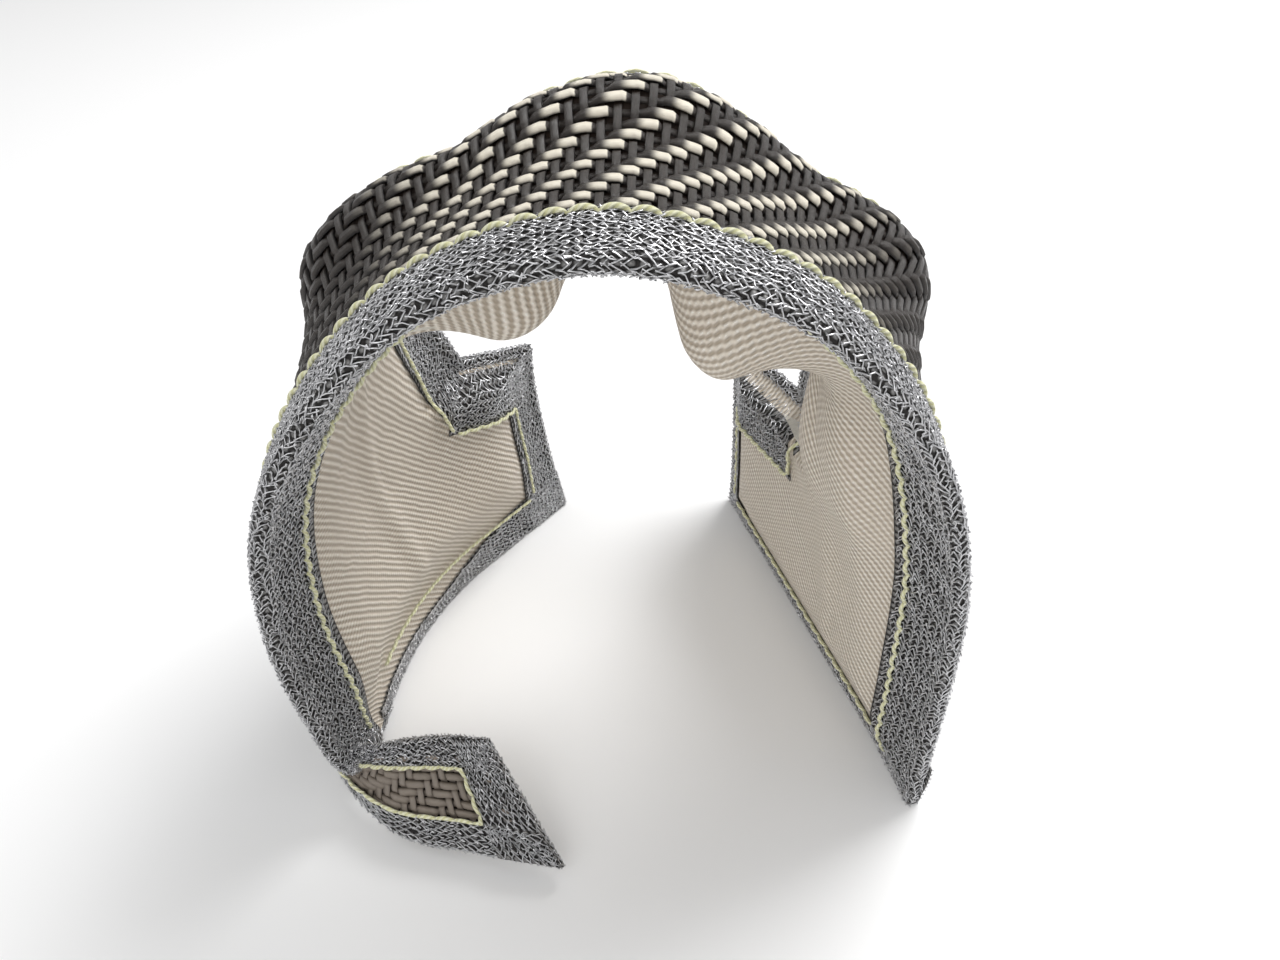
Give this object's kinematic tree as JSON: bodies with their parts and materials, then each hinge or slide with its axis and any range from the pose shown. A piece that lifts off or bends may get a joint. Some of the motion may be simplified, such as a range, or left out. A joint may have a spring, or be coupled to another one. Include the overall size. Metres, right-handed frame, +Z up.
{
  "type": "wastegate heat blanket",
  "caption": "Quilted heat blanket bent into an arch: dark woven glass cloth outside, beige lining inside, knitted wire-mesh edging, a closing strap and a snap rivet.",
  "frame": {"origin": "on the floor, under the centre of the bounding box", "axes": "+Z up; +X towards the leg with the rivet; +Y from the near edge, where the strap is, to the far edge with the notched tabs"},
  "size_m": [0.0927, 0.0839, 0.0971],
  "materials": {
    "outer_cloth": "coarse coated glass twill, dark brown with cream floats on the crown",
    "felt": "needled fibre felt",
    "lining": "fine beige glass twill",
    "mesh_tape": "knitted stainless wire mesh",
    "yarn": "pale yellow aramid sewing thread",
    "steel": "polished stainless rivet"
  },
  "bodies": {
    "root": {"outer_cloth": "outer_cloth", "insulation_core": "felt", "inner_lining": "lining", "strap_end_tape": "mesh_tape", "near_edge_tape": "mesh_tape", "strap_lower_tape": "mesh_tape", "left_foot_tape": "mesh_tape", "right_foot_tape": "mesh_tape", "left_tab_tape": "mesh_tape", "right_tab_tape": "mesh_tape", "far_edge_tape": "mesh_tape", "left_tab_top_tape": "mesh_tape", "right_tab_top_tape": "mesh_tape", "rivet_cap": "steel", "rivet_post": "steel", "rivet_washer": "steel", "near_edge_needle_thread": "yarn", "near_edge_bobbin_thread": "yarn", "right_foot_needle_thread": "yarn", "right_foot_bobbin_thread": "yarn", "right_tab_needle_thread": "yarn", "right_tab_bobbin_thread": "yarn", "far_edge_needle_thread": "yarn", "far_edge_bobbin_thread": "yarn", "left_tab_needle_thread": "yarn", "left_tab_bobbin_thread": "yarn", "left_foot_needle_thread": "yarn", "left_foot_bobbin_thread": "yarn", "strap_needle_thread": "yarn", "strap_bobbin_thread": "yarn"}
  },
  "joints": []
}
